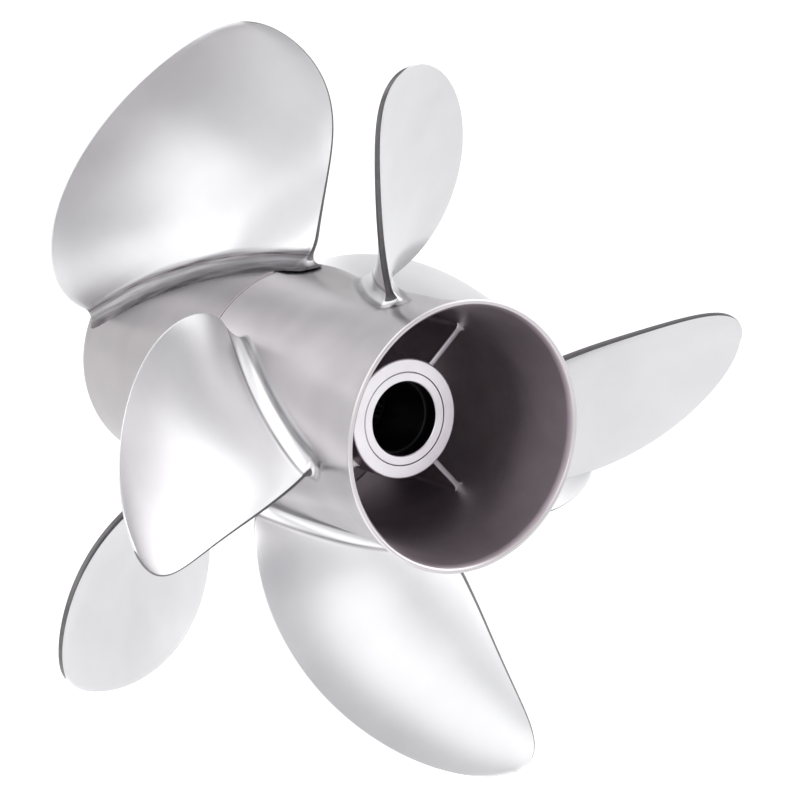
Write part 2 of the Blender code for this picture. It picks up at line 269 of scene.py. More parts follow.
# Exhaust ring. The flared aft end of the rear hub, cast in one with it. Its outside is ground,
# its inside is as cast, and its lip is turned round and polished.

LIP_LENGTH = 0.0030
RING_RINGS = 14


def exhaust_ring():
    """The flare's outer skin, its inner skin and the rounded lip between them."""
    stations = spaced(AFT_RIM_Y + LIP_LENGTH, RING_JOIN_Y, RING_RINGS)
    outer = [(y, rear_hub_radius(y)) for y in stations]
    lip_out = RING_R
    lip_in = RING_R - BARREL_WALL
    aft = AFT_RIM_Y
    stations = spaced(RING_JOIN_Y, AFT_RIM_Y + LIP_LENGTH, RING_RINGS)
    inner = [(y, rear_hub_radius(y) - BARREL_WALL) for y in stations]
    lip = [
        (aft + 0.0016, lip_in + 0.0002),
        (aft + 0.0006, lip_in + 0.0007),
        (aft + 0.0001, lip_in + 0.0013),
        (aft, lip_in + 0.0018),
        (aft, lip_out - 0.0008),
        (aft + 0.0003, lip_out - 0.0003),
        (aft + 0.0009, lip_out),
    ]
    return turned("rear_exhaust_flare", outer + inner + lip, [REAR_GROUND, CAST])


ring = exhaust_ring()
for face in ring.data.polygons:
    centre = face.center
    radial = Vector((centre.x, 0.0, centre.z)).normalized()
    if face.normal.dot(radial) < -0.8:
        face.material_index = 1
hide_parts("rear_exhaust_ring")
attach(ring, "rear_propeller")

# Ribs. Cast webs that carry the inner hub in the exhaust tube, with a small fillet at each end
# and a flat, polished edge towards the outlet.

RIB_THICKNESS = 0.0032
RIB_FILLET = 0.0040
RIB_POINTS = 24


def rib(name, angle, aft_y, forward_y, low, radius_at, body, replaced):
    """One web: an outline that widens into a fillet at both ends, drawn along the shaft."""
    bm = bmesh.new()
    loops = []
    stations = [(aft_y, 0.72), (aft_y + 0.0001, 0.85), (aft_y + 0.0003, 0.95)]
    stations += [(y, 1.0) for y in spaced(aft_y + 0.0007, forward_y, 12)]
    for y, share in stations:
        high = radius_at(y) - BARREL_WALL + 0.0004
        side = []
        for i in range(RIB_POINTS + 1):
            z = low - 0.0003 + (high - low + 0.0003) * i / RIB_POINTS
            half = 0.5 * RIB_THICKNESS * share
            for gap in (z - low, high - z):
                if gap < RIB_FILLET:
                    rest = 1.0 - max(gap, 0.0) / RIB_FILLET
                    half += RIB_FILLET * (1.0 - math.sqrt(1.0 - rest * rest)) * 0.6
            side.append((half, z))
        outline = [(-h, z) for h, z in side] + [(h, z) for h, z in reversed(side)]
        loops.append([bm.verts.new((x, y, z)) for x, z in outline])
    for near, far in zip(loops, loops[1:]):
        for i in range(len(near)):
            bm.faces.new((near[i - 1], near[i], far[i], far[i - 1]))
    for loop in (loops[0], loops[-1]):
        half_count = len(loop) // 2
        for i in range(half_count - 1):
            bm.faces.new((loop[i], loop[i + 1], loop[-2 - i], loop[-1 - i]))
    bmesh.ops.rotate(bm, verts=bm.verts, cent=(0, 0, 0),
                     matrix=Matrix.Rotation(math.radians(angle), 3, "Y"))
    piece = finished(name, bm, [CAST, POLISHED])
    for face in piece.data.polygons:
        if face.normal.y < -0.2:
            face.material_index = 1
    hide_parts(replaced)
    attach(piece, body)


REAR_INNER_R = 0.0304
REAR_RIB_ANGLE = 48.5
REAR_RIB_AFT_Y = -0.200
REAR_RIB_FORWARD_Y = -0.128
for i in range(4):
    rib(
        f"rear_hub_web_{i + 1}",
        REAR_RIB_ANGLE + 90.0 * i,
        REAR_RIB_AFT_Y,
        REAR_RIB_FORWARD_Y,
        REAR_INNER_R,
        rear_hub_radius,
        "rear_propeller",
        f"rear_rib_{i + 1}",
    )

# Rear inner hub, bushing and sleeve. The tube is cast with the ribs and faced off; a rubber
# bushing is pressed in it, and a splined sleeve in the rubber takes the shaft.


def machined_stainless():
    """Faced on a lathe: fine rings round the axis and a slightly cool satin; its colour is set lighter
    than the other steels', as painted light.
    """
    material, tree, shader = new_material("turned_stainless_painted_light")
    shader.inputs["Metallic"].default_value = 1.0
    place = add_node(tree, "TexCoord", {}).outputs["Object"]
    split = add_node(tree, "SeparateXYZ", {"Vector": place})
    flat = add_node(tree, "CombineXYZ", {"X": split.outputs["X"], "Y": split.outputs["Z"]})
    radius = add_node(tree, "VectorMath", {"Vector": flat.outputs["Vector"]}, operation="LENGTH")
    # The feed of the tool is about 0.2 mm a turn; it is drawn at 0.6 mm so that it shows.
    rings = add_node(
        tree,
        "Math",
        {0: radius.outputs["Value"], 1: 2.0 * math.pi / 0.0006},
        operation="MULTIPLY",
    )
    wave = add_node(tree, "Math", {0: rings.outputs["Value"]}, operation="SINE")
    clouds = add_node(tree, "TexNoise", {"Vector": place, "Scale": 1.0 / 0.012, "Detail": 3.0})
    bump = add_node(
        tree,
        "Bump",
        {"Height": wave.outputs["Value"], "Strength": 0.12, "Distance": 0.00005},
    )
    tree.links.new(bump.outputs["Normal"], shader.inputs["Normal"])
    # Lighter than the steel's own colour: painted light.
    tone = add_node(tree, "ValToRGB", {"Fac": clouds.outputs["Fac"]})
    tone.color_ramp.elements[0].position = 0.30
    tone.color_ramp.elements[0].color = linear("#DAD7DC")
    tone.color_ramp.elements[1].position = 0.70
    tone.color_ramp.elements[1].color = linear("#E2DFE4")
    tree.links.new(tone.outputs["Color"], shader.inputs["Base Color"])
    shader.inputs["Roughness"].default_value = 0.32
    return material


def black_rubber():
    """Moulded rubber: a dull black with a fine mottle."""
    material, tree, shader = new_material("moulded_black_rubber")
    place = add_node(tree, "TexCoord", {}).outputs["Object"]
    mottle = add_node(tree, "TexNoise", {"Vector": place, "Scale": 1.0 / 0.002, "Detail": 3.0})
    tone = add_node(tree, "ValToRGB", {"Fac": mottle.outputs["Fac"]})
    tone.color_ramp.elements[0].color = linear("#1B1B1B")
    tone.color_ramp.elements[1].color = linear("#2A2A2A")
    tree.links.new(tone.outputs["Color"], shader.inputs["Base Color"])
    shader.inputs["Roughness"].default_value = 0.75
    return material


MACHINED = machined_stainless()
RUBBER = black_rubber()
PRESS_GAP = 0.0003
TUBE_LIP = 0.005
BUSHING_INSET = 0.005


def bearing_tube(name, aft_y, forward_y, radius, seat_r, lip_r, body, replaced):
    """The inner hub: a tube with a lip at its aft end that holds the bushing in."""
    lip_end = aft_y + TUBE_LIP
    profile = [
        (aft_y, lip_r + PRESS_GAP),
        (aft_y, radius - 0.0008),
        (aft_y + 0.0003, radius - 0.0003),
        (aft_y + 0.0008, radius),
    ]
    profile += [(y, radius) for y in spaced(aft_y + 0.004, forward_y - 0.004, 8)]
    profile += [
        (forward_y - 0.0008, radius),
        (forward_y - 0.0003, radius - 0.0003),
        (forward_y, radius - 0.0008),
        (forward_y, seat_r + PRESS_GAP),
        (lip_end, seat_r + PRESS_GAP),
        (lip_end, lip_r + PRESS_GAP),
    ]
    piece = turned(name, supported(profile), [MACHINED, CAST])
    for face in piece.data.polygons:
        centre = face.center
        radial = Vector((centre.x, 0.0, centre.z))
        if radial.length > radius - 0.0002 and abs(face.normal.y) < 0.3:
            face.material_index = 1
    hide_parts(replaced)
    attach(piece, body)


def rubber_bushing(name, aft_y, forward_y, outer_r, inner_r, body, replaced):
    """The rubber ring between tube and sleeve, with rounded ends."""
    start = aft_y + TUBE_LIP + PRESS_GAP
    end = forward_y - BUSHING_INSET
    round_r = 0.0012
    profile = [
        (start, inner_r + PRESS_GAP),
        (start, outer_r - round_r),
        (start + 0.3 * round_r, outer_r - 0.3 * round_r),
        (start + round_r, outer_r),
        (end - round_r, outer_r),
        (end - 0.3 * round_r, outer_r - 0.3 * round_r),
        (end, outer_r - round_r),
        (end, inner_r + PRESS_GAP),
    ]
    piece = turned(name, supported(profile), [RUBBER])
    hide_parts(replaced)
    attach(piece, body)


def dark_bore_steel():
    """The sleeve's bore and spline, in a near-black steel."""
    material, tree, shader = new_material("dark_bore_stainless")
    place = add_node(tree, "TexCoord", {}).outputs["Object"]
    bore_mottle = add_node(tree, "TexNoise", {"Vector": place, "Scale": 1.0 / 0.006, "Detail": 3.0})
    tone = add_node(tree, "ValToRGB", {"Fac": bore_mottle.outputs["Fac"]})
    tone.color_ramp.elements[0].color = linear("#1E1E20")
    tone.color_ramp.elements[1].color = linear("#323235")
    tree.links.new(tone.outputs["Color"], shader.inputs["Base Color"])
    shader.inputs["Metallic"].default_value = 1.0
    shader.inputs["Roughness"].default_value = 0.45
    return material


DARK_BORE = dark_bore_steel()


def splined_sleeve(name, aft_y, forward_y, outer_r, counterbore_r, spline_r, teeth, body, replaced):
    """A turned sleeve: a stepped plain bore aft, then a broached spline."""
    step_y = aft_y + 0.008
    teeth_y = aft_y + 0.045
    plain_r = counterbore_r - 0.0013
    depth = 0.0013
    per_tooth = 12
    count = teeth * per_tooth
    edge = 0.0004
    rows = [
        (aft_y, counterbore_r + edge, 0.0),
        (aft_y, counterbore_r + 2.0 * edge, 0.0),
        (aft_y, outer_r - 2.0 * edge, 0.0),
        (aft_y, outer_r - edge, 0.0),
        (aft_y + edge, outer_r, 0.0),
        (forward_y - edge, outer_r, 0.0),
        (forward_y, outer_r - edge, 0.0),
        (forward_y, spline_r + edge, depth),
        (forward_y - edge, spline_r, depth),
        (teeth_y + edge, spline_r, depth),
        (teeth_y, spline_r + edge, depth),
        (teeth_y, plain_r, 0.0),
        (step_y + edge, plain_r, 0.0),
        (step_y, plain_r + edge, 0.0),
        (step_y, counterbore_r, 0.0),
        (aft_y + 2.0 * edge, counterbore_r, 0.0),
        (aft_y + edge, counterbore_r, 0.0),
    ]
    bm = bmesh.new()
    loops = []
    for y, radius, tooth in rows:
        loop = []
        for k in range(count):
            angle = 2.0 * math.pi * k / count
            phase = (k % per_tooth) / per_tooth
            rise = min(1.0, max(0.0, 5.0 * (0.5 - abs(phase - 0.5)) - 0.5))
            r = radius + tooth * rise
            loop.append(bm.verts.new((r * math.sin(angle), y, r * math.cos(angle))))
        loops.append(loop)
    for i, near in enumerate(loops):
        far = loops[(i + 1) % len(loops)]
        for k in range(count):
            face = bm.faces.new((near[k - 1], near[k], far[k], far[k - 1]))
            # The bore and spline take the near-black steel.
            if 8 <= i < len(loops) - 1:
                face.material_index = 1
    piece = finished(name, bm, [MACHINED, DARK_BORE])
    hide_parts(replaced)
    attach(piece, body)


REAR_INNER_AFT_Y = -0.2115
REAR_INNER_FORWARD_Y = -0.123
REAR_BUSHING_R = 0.0270
REAR_SLEEVE_R = 0.0235
REAR_COUNTERBORE_R = 0.0188
REAR_SPLINE_R = 0.0150
REAR_SPLINE_TEETH = 16
bearing_tube("rear_bearing_tube", REAR_INNER_AFT_Y, REAR_INNER_FORWARD_Y, REAR_INNER_R,
             REAR_BUSHING_R, REAR_SLEEVE_R, "rear_propeller", "rear_inner_hub")
rubber_bushing("rear_drive_bushing", REAR_INNER_AFT_Y, REAR_INNER_FORWARD_Y,
               REAR_BUSHING_R, REAR_SLEEVE_R, "rear_propeller", "rear_rubber_bushing")
splined_sleeve("rear_drive_sleeve", REAR_INNER_AFT_Y, REAR_INNER_FORWARD_Y, REAR_SLEEVE_R,
               REAR_COUNTERBORE_R, REAR_SPLINE_R, REAR_SPLINE_TEETH,
               "rear_propeller", "rear_spline_sleeve")

# Rear blades. Four right-hand blades, cast in one with the hub, raked aft and cupped along the
# trailing edge. They are ground to section and polished, with a wide fillet at the root.

PRESSURE_FILLET = 0.0105
SUCTION_FILLET = 0.009
END_FILLET = 0.007
CAMBER = 0.030
CUP = 0.0016
CUP_START = 0.30
RUN_OUT = 0.006
TAIL_EXTRA = 0.0013
TAIL_CROWN = 0.0004
TAIL_CORNER = 0.0003
TAIL_FACE = (1.0, 0.5, 0.0, -0.5, -1.0)
FOOT_SINK = 0.00005
SIDE_POINTS = 48
FILLET_ROWS = 14
SPAN_ROWS = 46
FOOT_ROWS = 6

REAR_BLADE = {
    "count": 4,
    "hand": 1,
    "angle": 13.05,
    "tip_r": 0.179,
    "pitch": 0.527,
    "root_pitch": 0.673,
    "chord": (0.104, 0.116, 0.122, 0.1315),
    "nose_cut": (0.015, 0.09),
    "tail_cut": (-0.002, 0.295),
    "tip_power": 2.875,
    "skew": (0.4, -2.6, -9.0, -19.1),
    "station": (-0.17375, -0.19625, -0.22125, -0.258),
    "root_thickness": 0.010,
    "tip_thickness": 0.0026,
    "foot_low_y": AFT_RIM_Y + 0.030,
    "foot_high_y": SEAM_Y - 0.0008,
}


def ground_edge():
    """The square trailing edge, ground across with a coarse belt and left grey; its dark tone is
    deepened as painted shade.
    """
    material, tree, shader = new_material("ground_stainless_edge_painted_shade")
    shader.inputs["Metallic"].default_value = 1.0
    place = add_node(tree, "TexCoord", {}).outputs["Object"]
    streaks = add_node(tree, "TexNoise", {"Vector": place, "Scale": 1.0 / 0.004, "Detail": 3.0})
    tone = add_node(tree, "ValToRGB", {"Fac": streaks.outputs["Fac"]})
    tone.color_ramp.elements[0].color = linear("#535153")
    tone.color_ramp.elements[1].color = linear("#686668")
    tree.links.new(tone.outputs["Color"], shader.inputs["Base Color"])
    shader.inputs["Roughness"].default_value = 0.38
    return material


EDGE = ground_edge()


def law(values, t):
    """The cubic through four values at t = 0, 1/3, 2/3 and 1."""
    a, b, c, d = values
    return (
        a * (1.0 - t) * (2.0 - 3.0 * t) * (1.0 - 3.0 * t) / 2.0
        + b * 9.0 * t * (2.0 - 3.0 * t) * (1.0 - t) / 2.0
        + c * 9.0 * t * (3.0 * t - 1.0) * (1.0 - t) / 2.0
        + d * t * (3.0 * t - 1.0) * (3.0 * t - 2.0) / 2.0
    )


def root_cut(pair, t):
    """How far one end of the chord is cut back at a share of the span."""
    amount, reach = pair
    return amount * max(0.0, 1.0 - t / reach) ** 2


def section(blade, t):
    """The section at t as (along, across) points: nose, suction side, tail face, pressure."""
    closing = math.sqrt(max(1e-6, 1.0 - t ** blade["tip_power"]))
    chord = law(blade["chord"], t) * closing
    nose_reach = 0.5 * chord - root_cut(blade["nose_cut"], t)
    tail_reach = 0.5 * chord + TAIL_EXTRA * closing - root_cut(blade["tail_cut"], t)
    edge = blade["tip_thickness"] * (1.0 + 0.3 * (1.0 - t))
    thickness = edge + (blade["root_thickness"] - edge) * (1.0 - t) ** 1.3
    from_tip = (1.0 - t) * (blade["tip_r"] - WAIST_R)
    corner = TAIL_CORNER
    if from_tip < 0.5 * edge:
        thin = math.sqrt(max(0.0, 1.0 - (1.0 - from_tip / (0.5 * edge)) ** 2))
        thickness *= thin
        edge *= thin
        corner *= thin
    suction = []
    pressure = []
    for i in range(SIDE_POINTS):
        s = 0.5 * math.cos(math.pi * (i + 0.5) / (SIDE_POINTS - 0.5))
        along = 2.0 * s * (nose_reach if s > 0.0 else tail_reach - corner)
        body = thickness * max(0.0, 1.0 - 4.0 * s * s) ** 0.55
        lean = 0.5 + s
        blunt = edge * (1.0 - 0.6 * lean * lean * (3.0 - 2.0 * lean))
        to_end = nose_reach - along
        if s > 0.0 and to_end < 0.5 * blunt:
            blunt *= math.sqrt(max(0.0, 1.0 - (1.0 - to_end / (0.5 * blunt)) ** 2))
        half = 0.5 * (body ** 4 + blunt ** 4) ** 0.25
        mean = CAMBER * chord * (1.0 - 4.0 * s * s)
        if -s > CUP_START:
            mean -= CUP * closing * ((-s - CUP_START) / (0.5 - CUP_START)) ** 2
        suction.append((along, mean + half))
        pressure.append((along, mean - half))
    tail = []
    for share in TAIL_FACE:
        crown = TAIL_CROWN * closing * (1.0 - share * share)
        tail.append((-tail_reach - crown, share * (0.5 * edge - corner) - CUP * closing))
    return [(nose_reach, 0.0)] + suction + tail + pressure[::-1]


def drawn_in(y, low, high):
    """Draws the ends of the root fillet in, so that it runs out before the hub's end."""
    if y < low + RUN_OUT:
        return low + RUN_OUT * math.exp((y - low - RUN_OUT) / RUN_OUT)
    if y > high - RUN_OUT:
        return high - RUN_OUT * math.exp((high - RUN_OUT - y) / RUN_OUT)
    return y


def wrapped(blade, foot_radius, height, along, across):
    """Wraps a point of a section round the shaft axis."""
    t = height / (blade["tip_r"] - WAIST_R)
    pitch_r = WAIST_R + height
    pitch = blade["pitch"] + (blade["root_pitch"] - blade["pitch"]) * (1.0 - t) ** 6
    pitch_angle = math.atan2(pitch, 2.0 * math.pi * pitch_r)
    turn = along * math.cos(pitch_angle) - across * math.sin(pitch_angle)
    y = law(blade["station"], t) + along * math.sin(pitch_angle) + across * math.cos(pitch_angle)
    on_hub = drawn_in(y, blade["foot_low_y"], blade["foot_high_y"])
    y += (on_hub - y) * max(0.0, 1.0 - height / PRESSURE_FILLET)
    r = pitch_r + (foot_radius(on_hub) - WAIST_R) * (1.0 - t)
    angle = blade["hand"] * (math.radians(law(blade["skew"], t)) + turn / pitch_r)
    return Vector((r * math.sin(angle), y, r * math.cos(angle)))


def rear_foot_radius(y):
    """Under a rear blade's foot: the hub, with the foot sunk in it by a hair."""
    return rear_hub_radius(y) - FOOT_SINK


def outward(outline):
    """The direction out of a section at each of its points."""
    normals = []
    for i in range(len(outline)):
        before = outline[i - 1]
        after = outline[(i + 1) % len(outline)]
        normals.append(Vector((after[1] - before[1], before[0] - after[0])).normalized())
    return normals


def fillet_reach(normal):
    """How far the root fillet reaches out of the section, by which way its side faces."""
    side = PRESSURE_FILLET if normal.y < 0.0 else SUCTION_FILLET
    return END_FILLET * normal.x ** 2 + side * normal.y ** 2


BANDED_HEIGHT = 12.0


def blade_stainless(name, foot_r, rise, rise_from_y, rise_to_y, bands):
    """Polished as above, but greyer in bands of the root fillet: painted shade, set to match its look.
    """
    material = polished_stainless(name)
    tree = material.node_tree
    shader = tree.nodes["Principled BSDF"]
    polished = shader.inputs["Base Color"].links[0].from_socket
    place = add_node(tree, "TexCoord", {}).outputs["Object"]
    split = add_node(tree, "SeparateXYZ", {"Vector": place})
    flat = add_node(tree, "CombineXYZ", {"X": split.outputs["X"], "Y": split.outputs["Z"]})
    radius = add_node(tree, "VectorMath", {0: flat.outputs["Vector"]}, operation="LENGTH")
    share = add_node(
        tree,
        "MapRange",
        {"Value": split.outputs["Y"], "From Min": rise_from_y, "From Max": rise_to_y},
    )
    square = add_node(tree, "Math", {0: share.outputs["Result"], 1: 2.0}, operation="POWER")
    hub = add_node(
        tree,
        "Math",
        {0: square.outputs["Value"], 1: rise, 2: foot_r},
        operation="MULTIPLY_ADD",
    )
    height = add_node(
        tree,
        "Math",
        {0: radius.outputs["Value"], 1: hub.outputs["Value"]},
        operation="SUBTRACT",
    )
    grain = add_node(
        tree,
        "CombineXYZ",
        {"X": height.outputs["Value"], "Y": split.outputs["Y"]},
    )
    # The painted shade is streaked along the belt's lines, about 1 mm apart and 20 mm long.
    stretched = add_node(
        tree,
        "VectorMath",
        {0: grain.outputs["Vector"], 1: (1.0, 0.05, 0.0)},
        operation="MULTIPLY",
    )
    lines = add_node(
        tree,
        "TexNoise",
        {"Vector": stretched.outputs["Vector"], "Scale": 1.0 / 0.001, "Detail": 2.0},
    )
    # The dark, streaked tone of the root bands: painted shade.
    painted_shade_tone = add_node(tree, "ValToRGB", {"Fac": lines.outputs["Fac"]})
    painted_shade_tone.color_ramp.elements[0].position = 0.35
    painted_shade_tone.color_ramp.elements[0].color = linear("#4C484B")
    painted_shade_tone.color_ramp.elements[1].position = 0.65
    painted_shade_tone.color_ramp.elements[1].color = linear("#7E7A7D")
    reach = add_node(
        tree,
        "MapRange",
        {"Value": height.outputs["Value"], "From Min": 0.0, "From Max": BANDED_HEIGHT / 1000.0},
    )
    # Share of painted shade, by height over the hub.
    grey = add_node(tree, "ValToRGB", {"Fac": reach.outputs["Result"]})
    grey.color_ramp.interpolation = "EASE"
    for i, (millimetres, amount) in enumerate(bands):
        if i < 2:
            stop = grey.color_ramp.elements[i]
            stop.position = millimetres / BANDED_HEIGHT
        else:
            stop = grey.color_ramp.elements.new(millimetres / BANDED_HEIGHT)
        stop.color = (amount, amount, amount, 1.0)
    mixed = add_node(
        tree,
        "MixRGB",
        {"Fac": grey.outputs["Color"], "Color1": polished, "Color2": painted_shade_tone.outputs["Color"]},
    )
    tree.links.new(mixed.outputs["Color"], shader.inputs["Base Color"])
    return material


REAR_STEEL = blade_stainless(
    "polished_rear_blade_steel_painted_shade",
    WAIST_R,
    SEAM_R - WAIST_R,
    SEAM_Y - SEAM_FLARE,
    SEAM_Y,
    # height over the hub in millimetres, share of painted shade
    ((0.0, 0.25), (0.6, 0.75), (1.4, 0.70), (2.4, 0.0), (6.5, 0.0), (8.0, 0.75), (9.6, 0.0)),
)


def blade_piece(name, blade, steel, angle, foot_radius, body, replaced):
    """One blade: rings of points up through the root fillet and out to the tip."""
    span = blade["tip_r"] - WAIST_R
    normals = outward(section(blade, 0.0))
    reach = [fillet_reach(normal) for normal in normals]
    bm = bmesh.new()
    loops = []
    for k in range(FILLET_ROWS):
        turn = 0.5 * math.pi * k / FILLET_ROWS
        loop = []
        for i, normal in enumerate(normals):
            height = reach[i] * (1.0 - math.cos(turn))
            spread = reach[i] * (1.0 - math.sin(turn))
            along, across = section(blade, height / span)[i]
            along += normal.x * spread
            across += normal.y * spread
            loop.append(bm.verts.new(wrapped(blade, foot_radius, height, along, across)))
        loops.append(loop)
    for k in range(SPAN_ROWS + 1):
        share = math.sin(0.5 * math.pi * k / SPAN_ROWS)
        loop = []
        for i in range(len(normals)):
            height = reach[i] + (span * 0.9985 - reach[i]) * share
            along, across = section(blade, height / span)[i]
            loop.append(bm.verts.new(wrapped(blade, foot_radius, height, along, across)))
        loops.append(loop)
    tail_from = SIDE_POINTS + 1
    tail_to = tail_from + len(TAIL_FACE)
    for k, (near, far) in enumerate(zip(loops, loops[1:])):
        for i in range(len(near)):
            face = bm.faces.new((near[i - 1], near[i], far[i], far[i - 1]))
            # The tail face takes the edge steel, whose dark tone is partly painted shade.
            if k > FILLET_ROWS // 2 and tail_from <= i <= tail_to:
                face.material_index = 1
    bm.faces.new(loops[-1])
    foot = []
    for i, normal in enumerate(normals):
        along, across = section(blade, 0.0)[i]
        foot.append((along + normal.x * reach[i], across + normal.y * reach[i]))
    rows = [loops[0][1:tail_from]]
    for j in range(1, FOOT_ROWS):
        row = []
        for i in range(1, tail_from):
            near = foot[i]
            far = foot[len(foot) - i]
            along = near[0] + (far[0] - near[0]) * j / FOOT_ROWS
            across = near[1] + (far[1] - near[1]) * j / FOOT_ROWS
            row.append(bm.verts.new(wrapped(blade, foot_radius, 0.0, along, across)))
        rows.append(row)
    rows.append([loops[0][-i] for i in range(1, tail_from)])
    for near, far in zip(rows, rows[1:]):
        bm.faces.new((loops[0][0], near[0], far[0]))
        for i in range(len(near) - 1):
            bm.faces.new((near[i], near[i + 1], far[i + 1], far[i]))
    tail_foot = [loops[0][i] for i in range(tail_to - 1, tail_from - 1, -1)]
    bm.faces.new([row[-1] for row in rows] + tail_foot)
    bmesh.ops.rotate(bm, verts=bm.verts, cent=(0, 0, 0),
                     matrix=Matrix.Rotation(math.radians(angle), 3, "Y"))
    piece = finished(name, bm, [steel, EDGE], 80.0)
    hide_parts(replaced)
    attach(piece, body)


for i in range(REAR_BLADE["count"]):
    blade_piece(
        f"rear_blade_casting_{i + 1}",
        REAR_BLADE,
        REAR_STEEL,
        REAR_BLADE["angle"] + 90.0 * i,
        rear_foot_radius,
        "rear_propeller",
        f"rear_blade_{i + 1}",
    )

# Front hub barrel and what it carries. It is turned by the outer shaft, so its inner hub is
# wider; its ribs, bushing and sleeve are made as the rear ones are.

FRONT_RIM_Y = 0.020
FRONT_RIM_R = 0.0620
FRONT_RIM_ROUND = 0.0010


def front_hub_radius(y):
    """Outer radius of the front hub: full at the seam, drawn in towards the gear case."""
    share = (y - SEAM_Y) / (FRONT_RIM_Y - SEAM_Y)
    return SEAM_R - (SEAM_R - FRONT_RIM_R) * share ** 2


# The front hub's steel is a darker copy of the rear hub's: painted shade.
front_hub = barrel(
    "front_hub_casting",
    front_hub_radius,
    SEAM_Y + RUNNING_GAP / 2.0,
    FRONT_RIM_Y,
    SEAM_EDGE_ROUND,
    FRONT_RIM_ROUND,
    ground_stainless("ground_cast_stainless_painted_shade", "#A19D9F", "#B1ADAF"),
)
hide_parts("front_hub_barrel")
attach(front_hub, "front_propeller")

FRONT_INNER_R = 0.0385
FRONT_RIB_ANGLE = 60.0
FRONT_RIB_AFT_Y = -0.098
FRONT_RIB_FORWARD_Y = -0.006
for i in range(3):
    rib(
        f"front_hub_web_{i + 1}",
        FRONT_RIB_ANGLE + 120.0 * i,
        FRONT_RIB_AFT_Y,
        FRONT_RIB_FORWARD_Y,
        FRONT_INNER_R,
        front_hub_radius,
        "front_propeller",
        f"front_rib_{i + 1}",
    )

FRONT_INNER_AFT_Y = -0.105
THRUST_FACE_Y = 0.0
FRONT_BUSHING_R = 0.0345
FRONT_SLEEVE_R = 0.0300
FRONT_COUNTERBORE_R = 0.0262
FRONT_SPLINE_R = 0.0235
FRONT_SPLINE_TEETH = 23
bearing_tube("front_bearing_tube", FRONT_INNER_AFT_Y, THRUST_FACE_Y, FRONT_INNER_R,
             FRONT_BUSHING_R, FRONT_SLEEVE_R, "front_propeller", "front_inner_hub")
rubber_bushing("front_drive_bushing", FRONT_INNER_AFT_Y, THRUST_FACE_Y,
               FRONT_BUSHING_R, FRONT_SLEEVE_R, "front_propeller", "front_rubber_bushing")
splined_sleeve("front_drive_sleeve", FRONT_INNER_AFT_Y, THRUST_FACE_Y, FRONT_SLEEVE_R,
               FRONT_COUNTERBORE_R, FRONT_SPLINE_R, FRONT_SPLINE_TEETH,
               "front_propeller", "front_spline_sleeve")

# Front blades. Three wide left-hand blades, made as the rear ones are. Their heels overhang the
# rear hub, a millimetre or two clear of it.

FRONT_BLADE = {
    "count": 3,
    "hand": -1,
    "angle": -27.0,
    "tip_r": 0.197,
    "pitch": 0.575,
    "root_pitch": 0.779,
    "chord": (0.154, 0.163, 0.157, 0.099),
    "nose_cut": (-0.001, 0.245),
    "tail_cut": (0.005, 0.115),
    "tip_power": 4.2,
    "skew": (0.4, -3.2, -9.7, -17.0),
    "station": (-0.0541, -0.066, -0.0925, -0.122),
    "root_thickness": 0.012,
    "tip_thickness": 0.0030,
    "foot_low_y": SEAM_Y - 0.030,
    "foot_high_y": FRONT_RIM_Y - 0.001,
}
HEEL_CLEARANCE = 0.0012
HEEL_RISE = 0.006


FRONT_STEEL = blade_stainless(
    "polished_front_blade_steel_painted_shade",
    SEAM_R,
    FRONT_RIM_R - SEAM_R,
    SEAM_Y,
    FRONT_RIM_Y,
    # one wide band of painted shade here: height over the hub in millimetres, share of shade
    ((0.0, 1.0), (2.0, 0.75), (3.6, 0.55), (6.0, 1.0), (10.5, 0.0)),
)


def front_foot_radius(y):
    """Under a front blade's foot: its own hub, then clear of the rear hub it overhangs."""
    if y >= SEAM_Y:
        return front_hub_radius(y) - FOOT_SINK
    return rear_hub_radius(y) + HEEL_CLEARANCE * min(1.0, (SEAM_Y - y) / HEEL_RISE)


for i in range(FRONT_BLADE["count"]):
    blade_piece(
        f"front_blade_casting_{i + 1}",
        FRONT_BLADE,
        FRONT_STEEL,
        FRONT_BLADE["angle"] + 120.0 * i,
        front_foot_radius,
        "front_propeller",
        f"front_blade_{i + 1}",
    )

# Floor: a light table, a sheet of opal acrylic just under the lowest blade tips. It is lit from
# below all over, and more by three lamps: a weak one under the pair, and two to port of it.

TABLE_R = 14.0
TABLE_DROP = 0.0005
TABLE_GLOW = 0.30
TABLE_LAMPS = (
    # x, y, radius of the full part and of the edge, strength
    (0.0, -0.19, 0.15, 0.50, 0.20),
    (-0.20, -0.17, 0.08, 0.36, 0.55),
    (-0.80, -0.12, 0.15, 0.55, 1.10),
)
table_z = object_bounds()[0][2] - TABLE_DROP
bm = bmesh.new()
bmesh.ops.create_circle(bm, cap_ends=True, segments=96, radius=TABLE_R)
bmesh.ops.translate(bm, verts=bm.verts, vec=(0.0, 0.0, table_z))
acrylic, tree, shader = new_material("opal_acrylic_sheet")
shader.inputs["Base Color"].default_value = linear("#C4C4C4")
shader.inputs["Roughness"].default_value = 0.9
shader.inputs["Specular IOR Level"].default_value = 0.1
shader.inputs["Emission Color"].default_value = linear("#FFFFFF")
place = add_node(tree, "NewGeometry", {}).outputs["Position"]
glow = TABLE_GLOW
for x, y, full, edge, strength in TABLE_LAMPS:
    lamp = Vector((x, y, table_z))
    away = add_node(tree, "VectorMath", {0: place, 1: lamp}, operation="DISTANCE")
    patch = add_node(
        tree,
        "MapRange",
        {
            "Value": away.outputs["Value"],
            "From Min": edge,
            "From Max": full,
            "To Min": 0.0,
            "To Max": strength,
        },
        interpolation_type="SMOOTHSTEP",
    )
    glow = add_node(tree, "Math", {0: glow, 1: patch.outputs["Result"]}, operation="ADD")
    glow = glow.outputs["Value"]
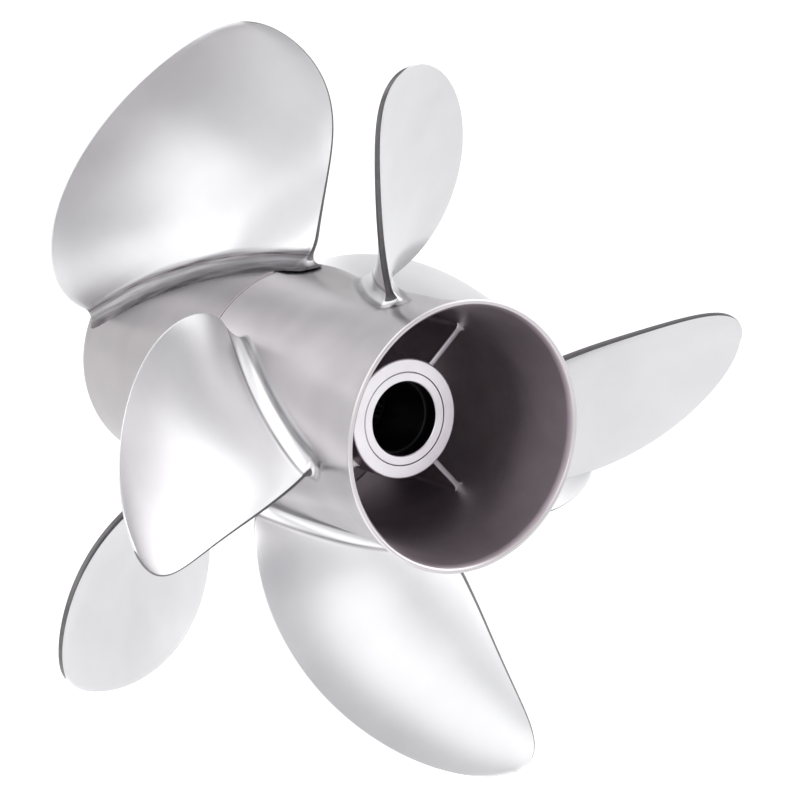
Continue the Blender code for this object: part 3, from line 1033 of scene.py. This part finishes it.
tree.links.new(glow, shader.inputs["Emission Strength"])
floor = finished("light_table", bm, [acrylic])

# Light: a white tent all round, brighter where soft boxes stand behind its cloth and darker at
# its openings: starboard of the bow, high up aft, and low on the port quarter. A negative
# strength is an opening.

world = bpy.data.worlds.new("studio_tent")
bpy.context.scene.world = world
world.use_nodes = True
tree = world.node_tree
background = tree.nodes["Background"]
direction = add_node(tree, "TexCoord", {}).outputs["Generated"]
TENT = 0.95
SOFT_BOXES = (
    # azimuth from the bow to starboard, elevation, half-angle of the full part and of the edge,
    # strength
    (105.0, 20.0, 18.0, 46.0, 1.65),
    (105.0, 48.0, 10.0, 38.0, 0.60),
    (0.0, 88.0, 8.0, 36.0, 0.80),
    (219.0, 22.0, 9.0, 29.0, 0.95),
    (255.0, 10.0, 8.0, 30.0, 0.30),
    (302.0, 20.0, 12.0, 42.0, 0.50),
    (285.0, 52.0, 12.0, 42.0, 1.30),
    (55.0, 15.0, 12.0, 36.0, -0.45),
    (170.0, 50.0, 12.0, 38.0, -0.15),
    (228.0, 0.0, 4.0, 18.0, -0.65),
)
light = TENT
for azimuth, elevation, full, edge, strength in SOFT_BOXES:
    azimuth, elevation = math.radians(azimuth), math.radians(elevation)
    axis = Vector((
        math.sin(azimuth) * math.cos(elevation),
        math.cos(azimuth) * math.cos(elevation),
        math.sin(elevation),
    ))
    facing = add_node(tree, "VectorMath", {0: direction, 1: axis}, operation="DOT_PRODUCT")
    panel = add_node(
        tree,
        "MapRange",
        {
            "Value": facing.outputs["Value"],
            "From Min": math.cos(math.radians(edge)),
            "From Max": math.cos(math.radians(full)),
            "To Min": 0.0,
            "To Max": strength,
        },
        interpolation_type="SMOOTHSTEP",
    )
    light = add_node(tree, "Math", {0: light, 1: panel.outputs["Result"]}, operation="ADD")
    light = light.outputs["Value"]
tree.links.new(light, background.inputs["Strength"])
background.inputs["Color"].default_value = linear("#FFFFFF")

# Camera: behind and to port of the pair, a little above the shaft. Its place, turn and lens were
# fitted to the outlines in the photograph.

camera = bpy.data.objects.new("camera", bpy.data.cameras.new("camera"))
bpy.context.scene.collection.objects.link(camera)
camera.data.sensor_width = 36.0
camera.data.lens = 111.3886
CAMERA_PLACE = Vector((-0.6520, -1.2118, 0.2787))
AZIMUTH, ELEVATION, ROLL = (math.radians(v) for v in (-33.004, 12.694, -2.526))
back = Vector((
    math.sin(AZIMUTH) * math.cos(ELEVATION),
    -math.cos(AZIMUTH) * math.cos(ELEVATION),
    math.sin(ELEVATION),
))
level = Vector((math.cos(AZIMUTH), math.sin(AZIMUTH), 0.0))
upright = back.cross(level)
right = level * math.cos(ROLL) + upright * math.sin(ROLL)
up = upright * math.cos(ROLL) - level * math.sin(ROLL)
camera.matrix_world = Matrix.Translation(CAMERA_PLACE) @ Matrix((right, up, back)).transposed().to_4x4()
bpy.context.scene.camera = camera
bpy.context.scene.view_settings.view_transform = "Standard"
